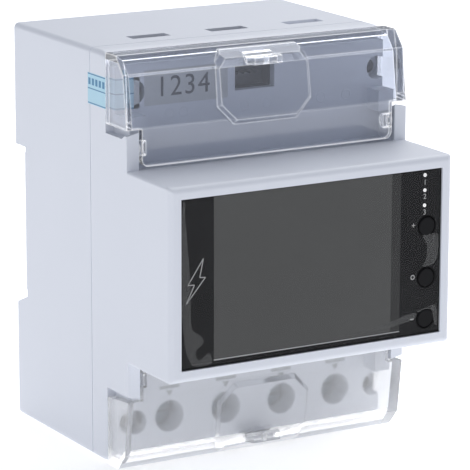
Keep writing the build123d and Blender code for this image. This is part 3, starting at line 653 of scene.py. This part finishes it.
SLOT_FINISHES: dict[str, Finish] = {
    "case_plastic": WHITE_PLASTIC,
    "clear_plastic": CLEAR_PLASTIC,
    "window_plastic": DarkWindow("dark_window", (0.012, 0.012, 0.0125), roughness=0.09, gloss_swing=0.03,
                                 grain_size=1500.0, grain_depth=0.05, drift=0.03, drift_size=40.0,
                                 bump=0.02),
    "film": Veil("protective_film", (0.55, 0.55, 0.56), roughness=0.16, gloss_swing=0.05, grain_size=900.0,
                 grain_depth=0.1, drift=0.05, drift_size=30.0, cover=0.014),
    "button_plastic": Finish("black_buttons", (0.008, 0.008, 0.009), roughness=0.4, gloss_swing=0.06,
                             grain_size=4000.0, grain_depth=0.1, drift=0.05, drift_size=300.0, sheen=0.1),
    # The light pipe's edges carry the default painted highlight over a painted grey shade.
    "light_pipe_plastic": Clear("light_pipe", (0.9, 0.92, 0.95), roughness=0.1, gloss_swing=0.03,
                                grain_size=2000.0, grain_depth=0.05),
    "lamp_resin": Zoned("lamp_chips", (0.8, 0.76, 0.5), roughness=0.3, second=(0.75, 0.72, 0.7),
                        low=(28.0, -40.0, 60.0), high=(30.0, 0.0, 70.0)),
    "display_glass": Zoned("display_glass", (0.12, 0.13, 0.125), roughness=0.12, second=(0.2, 0.21, 0.2),
                           low=(-24.0, -37.0, 31.0), high=(21.0, 0.0, 65.0)),
    "frame_plastic": Finish("black_frame", (0.03, 0.03, 0.032)),
    "elastomer": Striped("zebra_strip", (0.75, 0.5, 0.55), roughness=0.6, second=(0.05, 0.05, 0.05),
                         pitch=0.2),
    "board_laminate": Laminate("green_board", (0.02, 0.16, 0.06), roughness=0.32),
    "switch_plastic": Finish("switch_black", (0.03, 0.03, 0.03), roughness=0.4),
    "transformer_plastic": Zoned("tape_and_core", (0.62, 0.5, 0.1), roughness=0.45,
                                 second=(0.05, 0.048, 0.046), low=(-16.5, -20.0, 25.4),
                                 high=(2.5, 37.0, 40.6)),
    "capacitor_sleeve": Zoned("capacitor_sleeve", (0.02, 0.03, 0.07), roughness=0.3,
                              second=(0.62, 0.62, 0.6), low=(11.8, -20.0, 20.0), high=(14.0, 37.0, 45.0)),
    "film_capacitor_case": Finish("capacitor_case", (0.72, 0.52, 0.06), roughness=0.38),
    "chip_resin": Finish("chip_resin", (0.025, 0.025, 0.027), roughness=0.55, gloss_swing=0.06,
                         grain_size=7000.0, grain_depth=0.2, drift=0.05, drift_size=400.0, bump=0.2),
    "socket_plastic": Finish("socket_black", (0.045, 0.042, 0.05), roughness=0.45, grain_size=4000.0,
                             drift=0.05, drift_size=120.0),
    "shield_steel": Plated("shield_tin", (0.62, 0.63, 0.64), roughness=0.32, grain_size=900.0,
                           grain_depth=0.1),
    "block_plastic": Finish("grey_block", (0.15, 0.16, 0.18), grain_size=3500.0, grain_depth=0.2, drift=0.05,
                            drift_size=120.0),
    "bar_metal": Plated("tinned_bar", (0.72, 0.62, 0.42), roughness=0.34, grain_size=900.0, grain_depth=0.1),
    "cage_steel": Plated("zinc_cage", (0.6, 0.62, 0.62), roughness=0.38, gloss_swing=0.1, grain_size=800.0),
    # The zinc colour is darkened as painted shade, standing in for the shade inside the terminal holes.
    "screw_steel": Plated("zinc_screw_painted_shade", (0.17, 0.21, 0.26), roughness=0.42, gloss_swing=0.1,
                          grain_size=900.0, lines=(1.0, 6.0, 1.0)),
}

NODE_FINISHES: dict[str, Finish] = {
    "bottom_terminal_cover": FROSTED_PLASTIC,
    "case_screws": Plated("black_screw", (0.05, 0.05, 0.055), gloss_swing=0.1, grain_size=900.0),
}

DARK_INK = Finish("dark_ink", (0.055, 0.058, 0.075), roughness=0.55, specks=0.1)
GREY_INK = Finish("grey_ink", (0.30, 0.32, 0.34), roughness=0.6)
PALE_INK = Finish("pale_ink", (0.42, 0.42, 0.41), specks=0.1)
STEEL_BLUE_INK = Finish("steel_blue_ink", (0.085, 0.26, 0.45))
# Painted highlight: a pale line that stands in for light caught on the lower edge of the display glass.
PAINTED_GLASS_HIGHLIGHT = Finish("painted_glass_highlight", (0.42, 0.42, 0.42), roughness=0.3)
PALE_PAPER = Finish("pale_paper", (0.62, 0.63, 0.64), roughness=0.6, gloss_swing=0.06, grain_size=3000.0,
                    grain_depth=0.2, drift=0.03, drift_size=90.0)
CYAN_PAPER = Finish("cyan_paper", (0.50, 0.74, 0.86), roughness=0.55, gloss_swing=0.06, grain_size=3000.0,
                    grain_depth=0.2, drift=0.03, drift_size=90.0)
AIR_UNDER_FILM = Veil("air_under_film", (0.30, 0.30, 0.295), roughness=0.22, gloss_swing=0.04,
                      grain_size=900.0, grain_depth=0.1, drift=0.03, cover=0.22, cover_swing=0.2)


# Making pieces


@dataclass(frozen=True)
class Workshop:
    """Turns meshes into pieces of the object and into prints on it, with sizes in millimetres."""

    body: str = "case"
    merge_reach: float = 0.001
    ink_height: float = 0.02
    letter_steps: int = 4
    outline_steps: int = 6
    outline_order: int = 3
    ring_steps: int = 28

    def piece(self, name: str, mesh: bmesh.types.BMesh, finish: Finish, place: Matrix | None = None,
              smooth: bool = False) -> bpy.types.Object:
        """Makes a piece from a mesh and lets it ride on the body.

        Args:
            name: The piece's name.
            mesh: Its mesh, which is freed here.
            finish: Its finish.
            place: Matrix that puts the mesh in the frame, or None where it is there already.
            smooth: Whether its faces are shaded smooth.

        Returns:
            The new object.
        """
        if place is not None:
            bmesh.ops.transform(mesh, matrix=place, verts=mesh.verts)
        bmesh.ops.remove_doubles(mesh, verts=mesh.verts, dist=self.merge_reach * MM)
        bmesh.ops.recalc_face_normals(mesh, faces=mesh.faces)
        for face in mesh.faces:
            face.smooth = smooth
        made = link_mesh(name, mesh)
        made.data.materials.append(finish.build())
        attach(made, self.body)
        log.info("%s rides on %s", name, self.body)
        return made

    def printed_text(self, name: str, text: str, size: float, place: Place, finish: Finish,
                     spacing: float = 1.0) -> bpy.types.Object:
        """Prints plain characters on a side.

        Args:
            name: The piece's name.
            text: The characters.
            size: Their size.
            place: Middle of the print.
            finish: The ink.
            spacing: Space between the characters, as a share of the font's own.

        Returns:
            The print.
        """
        curve = bpy.data.curves.new(name + "_line", "FONT")
        curve.body = text
        curve.size = size * MM
        curve.align_x = "CENTER"
        curve.align_y = "CENTER"
        curve.space_character = spacing
        curve.resolution_u = self.letter_steps
        return self._from_curve(name, curve, place, finish)

    def printed_shape(self, name: str, points: tuple[Pair, ...], place: Place, finish: Finish,
                      smooth: bool = False) -> bpy.types.Object:
        """Prints a filled outline.

        Args:
            name: The piece's name.
            points: Corners of the outline, or its control points where it is smooth.
            place: Where its zero lies.
            finish: The ink or film.
            smooth: Whether the outline is a smooth line through its corners.

        Returns:
            The print.
        """
        curve = bpy.data.curves.new(name + "_line", "CURVE")
        curve.dimensions = "2D"
        curve.fill_mode = "BOTH"
        curve.resolution_u = self.outline_steps
        spline = curve.splines.new("NURBS" if smooth else "POLY")
        spline.points.add(len(points) - 1)
        for point, (x, y) in zip(spline.points, points):
            point.co = (x * MM, y * MM, 0.0, 1.0)
        spline.use_cyclic_u = True
        if smooth:
            spline.order_u = self.outline_order
        return self._from_curve(name, curve, place, finish)

    def _from_curve(self, name: str, curve: bpy.types.Curve, place: Place,
                    finish: Finish) -> bpy.types.Object:
        """Turns a flat curve into a print whose back lies on its place.

        Args:
            name: The piece's name.
            curve: The curve, which is removed here.
            place: Where its zero lies.
            finish: The ink.

        Returns:
            The print.
        """
        curve.extrude = self.ink_height * MM / 2
        carrier = bpy.data.objects.new(name + "_line", curve)
        bpy.context.scene.collection.objects.link(carrier)
        shown = carrier.evaluated_get(bpy.context.evaluated_depsgraph_get())
        flat = bpy.data.meshes.new_from_object(shown)
        lift = Matrix.Translation((0, 0, curve.extrude))
        bpy.data.objects.remove(carrier)
        bpy.data.curves.remove(curve)
        mesh = bmesh.new()
        mesh.from_mesh(flat)
        bpy.data.meshes.remove(flat)
        return self.piece(name, mesh, finish, place.matrix() @ lift)

    def plate(self, name: str, width: float, height: float, thickness: float, place: Place,
              finish: Finish) -> bpy.types.Object:
        """Lays a thin plate on a side.

        Args:
            name: The piece's name.
            width: Its width.
            height: Its height.
            thickness: Its thickness.
            place: Its middle.
            finish: Its finish.

        Returns:
            The plate.
        """
        mesh = bmesh.new()
        bmesh.ops.create_cube(mesh, size=1.0)
        bmesh.ops.scale(mesh, vec=(width * MM, height * MM, thickness * MM), verts=mesh.verts)
        bmesh.ops.translate(mesh, vec=(0, 0, thickness * MM / 2), verts=mesh.verts)
        return self.piece(name, mesh, finish, place.matrix())

    def ring(self, name: str, radius: float, width: float, thickness: float, place: Place,
             finish: Finish) -> bpy.types.Object:
        """Lays a flat ring with soft edges on a side.

        Args:
            name: The piece's name.
            radius: Its middle radius.
            width: Width of its band.
            thickness: Its thickness.
            place: Its middle.
            finish: Its finish.

        Returns:
            The ring.
        """
        mesh = bmesh.new()
        inner, outer = (radius - width / 2) * MM, (radius + width / 2) * MM
        edge = thickness * MM / 2
        profile = [(inner, 0), (inner, edge), (inner + edge, 2 * edge), (outer - edge, 2 * edge),
                   (outer, edge), (outer, 0)]
        verts = [mesh.verts.new((x, 0, z)) for x, z in profile]
        bmesh.ops.contextual_create(mesh, geom=verts)
        edges = mesh.edges[:]
        bmesh.ops.delete(mesh, geom=mesh.faces[:], context="FACES_ONLY")
        bmesh.ops.spin(mesh, geom=edges, cent=(0, 0, 0), axis=(0, 0, 1), angle=math.tau,
                       steps=self.ring_steps, use_merge=True)
        return self.piece(name, mesh, finish, place.matrix(), smooth=True)


def link_mesh(name: str, mesh: bmesh.types.BMesh) -> bpy.types.Object:
    """Puts a mesh in the scene as an object at the origin.

    Args:
        name: The object's name.
        mesh: Its mesh, which is freed here.

    Returns:
        The new object.
    """
    data = bpy.data.meshes.new(name)
    mesh.to_mesh(data)
    mesh.free()
    made = bpy.data.objects.new(name, data)
    bpy.context.scene.collection.objects.link(made)
    return made


# Sub-assemblies


@dataclass
class Carried:
    """The CAD nodes, each dressed in a finish of its own or the finish of its record slot."""

    record: dict = field(default_factory=lambda: frame["record"])

    def build(self) -> None:
        """Gives each node its material."""
        for entry in self.record["subparts"]:
            node = frame["nodes"][entry["node"]]
            material = NODE_FINISHES.get(entry["node"], SLOT_FINISHES[entry["material_slot"]]).build()
            if not node.material_slots:
                node.data.materials.append(material)
            for slot in node.material_slots:
                slot.material = material
            log.info("%s dressed as %s", entry["node"], material.name)


@dataclass
class WindowPrints:
    """Marks printed on the window, a painted highlight at the display's lower edge, and the air under its
    film, in millimetres.
    """

    workshop: Workshop = Workshop()
    face: float = -36.6
    mark_column: float = 26.0
    mark_levels: tuple[float, float, float] = (53.5, 41.7, 32.0)
    mark_size: float = 1.9
    ring_radius: float = 0.456
    ring_line: float = 0.2
    minus_width: float = 0.95
    minus_line: float = 0.26
    legend_column: float = 28.9
    legend_levels: tuple[float, float, float] = (63.1, 59.9, 56.3)
    legend_size: float = 1.7
    bolt_line: float = 0.2
    bolt: tuple[Pair, ...] = ((-27.7, 52.6), (-28.6, 48.5), (-27.2, 48.4), (-31.9, 43.0), (-29.9, 47.0),
                              (-31.5, 47.1))
    # Outline of the painted highlight along the display's lower edge.
    highlight_line: tuple[Pair, ...] = ((-25.1, 29.55), (22.6, 29.55), (22.6, 29.75), (-25.1, 29.8))
    air: tuple[tuple[Pair, ...], ...] = (
        ((-33.1, 65.9), (-31.9, 65.3), (-32.3, 63.3), (-31.8, 58.3), (-31.2, 51.6), (-30.7, 44.9),
         (-30.9, 39.6), (-30.4, 36.6), (-29.1, 36.2), (-27.6, 34.9), (-27.8, 33.4), (-29.4, 32.8),
         (-29.8, 31.5), (-28.7, 29.7), (-27.2, 31.1), (-26.1, 31.7), (-25.4, 29.5), (-25.6, 28.7),
         (-33.1, 28.7)),
        ((28.0, 51.4), (29.5, 49.3), (29.9, 47.5), (29.5, 45.2), (28.2, 43.6), (31.0, 43.9), (32.6, 45.0),
         (32.9, 51.0), (31.5, 51.2)),
        ((27.0, 33.9), (30.4, 34.3), (32.6, 35.1), (32.9, 29.6), (31.9, 30.1), (31.5, 33.6), (29.5, 34.1),
         (27.7, 33.3)),
        ((6.6, 30.2), (13.3, 31.0), (20.8, 32.2), (27.0, 33.9), (27.4, 32.0), (20.8, 30.9), (13.3, 30.5)),
    )

    def spot(self, x: float = 0, z: float = 0) -> Place:
        """Gives a place on the window's face."""
        return Side.FRONT.at(x, self.face, z)

    def build(self) -> None:
        """Makes the marks, the painted highlight at the display's edge and the air under the film."""
        shop, flat = self.workshop, self.workshop.ink_height
        plus, select, minus = (self.spot(self.mark_column, level) for level in self.mark_levels)
        shop.printed_text("mark_plus", "+", self.mark_size, plus, PALE_INK)
        shop.ring("mark_select", self.ring_radius, self.ring_line, flat, select, PALE_INK)
        shop.plate("mark_minus", self.minus_width, self.minus_line, flat, minus, PALE_INK)
        for count, level in enumerate(self.legend_levels, start=1):
            shop.printed_text(f"legend_{count}", str(count), self.legend_size,
                              self.spot(self.legend_column, level), PALE_INK)
        for count, (start, end) in enumerate(zip(self.bolt, self.bolt[1:] + self.bolt[:1]), start=1):
            self._stroke(f"bolt_{count}", Vector(start), Vector(end))
        # Painted highlight along the display's lower edge.
        shop.printed_shape("display_edge_highlight", self.highlight_line, self.spot(), PAINTED_GLASS_HIGHLIGHT)
        for count, outline in enumerate(self.air, start=1):
            shop.printed_shape(f"film_air_{count}", outline, self.spot(), AIR_UNDER_FILM, smooth=True)

    def _stroke(self, name: str, start: Vector, end: Vector) -> None:
        """Prints a straight stroke.

        Args:
            name: The piece's name.
            start: One end.
            end: The other end.
        """
        side = (end - start).orthogonal().normalized() * self.bolt_line / 2
        corners = tuple(map(tuple, (start + side, end + side, end - side, start - side)))
        self.workshop.printed_shape(name, corners, self.spot(), PALE_INK)


@dataclass
class FilmSheet:
    """Protective film on the window, a copy of its node that keeps a small gap to the prints."""

    workshop: Workshop = Workshop()
    node: str = "screen_film"
    gap: float = 0.05

    def build(self) -> None:
        """Makes the film and lets it stand for its node."""
        mesh = bmesh.new()
        mesh.from_mesh(frame["nodes"][self.node].data)
        bmesh.ops.remove_doubles(mesh, verts=mesh.verts, dist=self.workshop.merge_reach * MM)
        back = max(vert.co.y for vert in mesh.verts)
        rear = [vert for vert in mesh.verts if vert.co.y > back - self.gap * MM]
        bmesh.ops.translate(mesh, vec=(0, -self.gap * MM, 0), verts=rear)
        film = self.workshop.piece("film_sheet", mesh, SLOT_FINISHES["film"])
        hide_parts(self.node)


@dataclass
class UpperWall:
    """Paper strip and moulded rings on the upper terminal wall, in millimetres."""

    workshop: Workshop = Workshop()
    face: float = -10.4
    strip_low: Pair = (-28.0, 81.35)
    strip_high: Pair = (-7.1, 88.9)
    strip_thickness: float = 0.05
    digits: str = "1234"
    digit_size: float = 6.4
    digit_place: Pair = (-18.3, 85.1)
    digit_spacing: float = 1.1
    ring_level: float = 79.15
    ring_columns: tuple[float, ...] = (-21.8, -18.0, -2.7, 3.2, 17.4, 24.1)
    ring_radius: float = 1.1
    ring_line: float = 0.25
    ring_height: float = 0.06

    def build(self) -> None:
        """Makes the strip, its digits and the rings."""
        (left, foot), (right, top) = self.strip_low, self.strip_high
        self.workshop.plate("number_strip", right - left, top - foot, self.strip_thickness,
                            Side.FRONT.at((left + right) / 2, self.face, (foot + top) / 2), PALE_PAPER)
        column, level = self.digit_place
        self.workshop.printed_text("strip_digits", self.digits, self.digit_size,
                                   Side.FRONT.at(column, self.face - self.strip_thickness, level), DARK_INK,
                                   self.digit_spacing)
        for count, column in enumerate(self.ring_columns, start=1):
            self.workshop.ring(f"moulded_ring_{count}", self.ring_radius, self.ring_line, self.ring_height,
                               Side.FRONT.at(column, self.face, self.ring_level), WHITE_PLASTIC)


@dataclass
class LowerWall:
    """Printed arrows and bars over the screw holes of the lower terminal wall, in millimetres."""

    workshop: Workshop = Workshop()
    face: float = -10.4
    columns: tuple[float, ...] = (-21.9, -7.3, 7.3, 21.9)
    arrow_level: float = 15.15
    arrow_width: float = 1.7
    arrow_height: float = 1.5
    bar_level: float = 16.65
    bar_width: float = 5.2
    bar_height: float = 0.7

    def build(self) -> None:
        """Makes an arrow and a bar for each hole."""
        across, up = self.arrow_width / 2, self.arrow_height / 2
        corners = ((-across, up), (0.0, -up), (across, up))
        for count, column in enumerate(self.columns, start=1):
            self.workshop.printed_shape(f"arrow_{count}", corners,
                                        Side.FRONT.at(column, self.face, self.arrow_level), GREY_INK)
            self.workshop.plate(f"bar_{count}", self.bar_width, self.bar_height, self.workshop.ink_height,
                                Side.FRONT.at(column, self.face, self.bar_level), GREY_INK)


@dataclass
class FoldedSticker:
    """Pale blue sticker from the left side over the step onto the upper wall, in millimetres."""

    workshop: Workshop = Workshop()
    turns: tuple[Pair, ...] = ((-36.0, 0.4), (-36.0, -7.8), (-33.9, -7.8), (-33.9, -10.4), (-30.6, -10.4))
    pale_end: float = -29.2
    levels: Pair = (81.0, 88.0)
    paper_lift: float = 0.02
    ink_lift: float = 0.03
    line: float = 0.25
    block_height: float = 1.5
    block_drop: float = 1.9
    block_share: float = 0.62
    block_count: int = 5

    def band(self, name: str, turns: tuple[Pair, ...], levels: Pair, finish: Finish, lift: float) -> None:
        """Lays a band of the sticker around turns of the case.

        Args:
            name: The piece's name.
            turns: The turns.
            levels: Levels of its lower and upper edge.
            finish: Its paper or ink.
            lift: How far its face stands off the case.
        """
        low, high = levels
        mesh = bmesh.new()
        verts = [mesh.verts.new((x * MM, y * MM, low * MM)) for x, y in turns]
        edges = [mesh.edges.new(pair) for pair in zip(verts, verts[1:])]
        risen = bmesh.ops.extrude_edge_only(mesh, edges=edges)["geom"]
        raised = [part for part in risen if isinstance(part, bmesh.types.BMVert)]
        bmesh.ops.translate(mesh, vec=(0, 0, (high - low) * MM), verts=raised)
        bmesh.ops.recalc_face_normals(mesh, faces=mesh.faces)
        outward = sum(face.normal.x for face in mesh.faces) < 0
        bmesh.ops.solidify(mesh, geom=mesh.faces[:], thickness=(-lift if outward else lift) * MM)
        self.workshop.piece(name, mesh, finish)

    def build(self) -> None:
        """Makes the paper, its lines and its blocks."""
        low, high = self.levels
        end = self.turns[-1]
        self.band("sticker_paper", self.turns, self.levels, CYAN_PAPER, self.paper_lift)
        self.band("sticker_tail", (end, (self.pale_end, end[1])), self.levels, PALE_PAPER, self.paper_lift)
        for count, level in enumerate((low + self.line, (low + high) / 2, high - self.line), start=1):
            self.band(f"sticker_line_{count}", self.turns, (level - self.line / 2, level + self.line / 2),
                      STEEL_BLUE_INK, self.ink_lift)
        (side, near), (_, far) = self.turns[:2]
        pitch = (near - far) / self.block_count
        for count in range(self.block_count):
            spot = Side.LEFT.at(side, near - (count + 0.5) * pitch, high - self.block_drop)
            self.workshop.plate(f"sticker_block_{count + 1}", pitch * self.block_share, self.block_height,
                                self.ink_lift, spot, STEEL_BLUE_INK)


@dataclass(frozen=True)
class SoftLight:
    """Soft rectangular light: where it hangs, its width and height, its power in watts and its colour."""

    name: str
    spot: Point
    size: Pair
    power: float
    colour: Colour

    def hang(self, target: Point) -> None:
        """Hangs it so that it looks at a point.

        Args:
            target: The point.
        """
        lamp = bpy.data.lights.new(self.name, "AREA")
        lamp.shape = "RECTANGLE"
        lamp.size, lamp.size_y = self.size
        lamp.energy = self.power
        lamp.color = self.colour
        holder = bpy.data.objects.new(self.name, lamp)
        bpy.context.scene.collection.objects.link(holder)
        holder.location = self.spot
        holder.rotation_euler = (Vector(target) - Vector(self.spot)).to_track_quat("-Z", "Y").to_euler()


@dataclass
class Studio:
    """Floor, soft lights and the camera at the photograph's angle, in metres."""

    floor_reach: float = 3.0
    floor: Finish = PaleFloor("pale_floor", (0.9, 0.9, 0.91), roughness=0.9, sheen=0.1)
    lights: tuple[SoftLight, ...] = (
        SoftLight("overhead", (0.5, 0.32, 0.8), (1.0, 0.9), 6.2, WHITE),
        SoftLight("left_side", (-0.8, -0.35, 0.15), (0.8, 0.8), 1.0, (0.97, 0.985, 1.0)),
    )
    room_colour: Colour = (0.86, 0.9, 1.0)
    room_light: float = 0.43
    target: Point = (0.00368, 0.004, 0.0456)
    azimuth: float = math.radians(30.15)
    elevation: float = math.radians(13.48)
    roll: float = math.radians(0.16)
    distance: float = 0.7
    focal_pixels: float = 3034.0
    frame_pixels: float = 470.0
    sensor_width: float = 36.0
    sight: Pair = (0.01, 20.0)

    def build(self) -> None:
        """Makes the floor, the lights and the camera."""
        mesh = bmesh.new()
        bmesh.ops.create_grid(mesh, x_segments=1, y_segments=1, size=self.floor_reach)
        floor = link_mesh("floor", mesh)
        floor.data.materials.append(self.floor.build())
        for light in self.lights:
            light.hang(self.target)
        self._surroundings()
        self._camera()

    def _surroundings(self) -> None:
        """Sets the pale light of the room, and shows colours as they are."""
        world = bpy.data.worlds.new("room")
        bpy.context.scene.world = world
        world.use_nodes = True
        fix(world.node_tree.nodes["Background"],
            {"Color": solid(self.room_colour), "Strength": self.room_light})
        bpy.context.scene.view_settings.view_transform = "Standard"

    def _camera(self) -> None:
        """Sets the camera at the photograph's angle."""
        level = math.cos(self.elevation)
        back = Vector((-math.sin(self.azimuth) * level, -math.cos(self.azimuth) * level,
                       math.sin(self.elevation)))
        right = (-back).cross(Vector((0, 0, 1))).normalized()
        turn = Matrix((right, back.cross(right), back)).transposed().to_4x4()
        turn = turn @ Matrix.Rotation(self.roll, 4, "Z")
        data = bpy.data.cameras.new("camera")
        data.sensor_width = self.sensor_width
        data.lens = self.focal_pixels / self.frame_pixels * self.sensor_width
        data.clip_start, data.clip_end = self.sight
        camera = bpy.data.objects.new("camera", data)
        bpy.context.scene.collection.objects.link(camera)
        camera.matrix_world = Matrix.Translation(Vector(self.target) + back * self.distance) @ turn
        bpy.context.scene.camera = camera


def main() -> None:
    """Builds the studio and every sub-assembly in order."""
    logging.basicConfig(level=logging.INFO, format="%(message)s")
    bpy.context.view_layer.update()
    for group in (Studio(), Carried(), WindowPrints(), FilmSheet(), UpperWall(), LowerWall(),
                  FoldedSticker()):
        group.build()
        log.info("%s built", type(group).__name__)


if __name__ == "__main__":
    main()
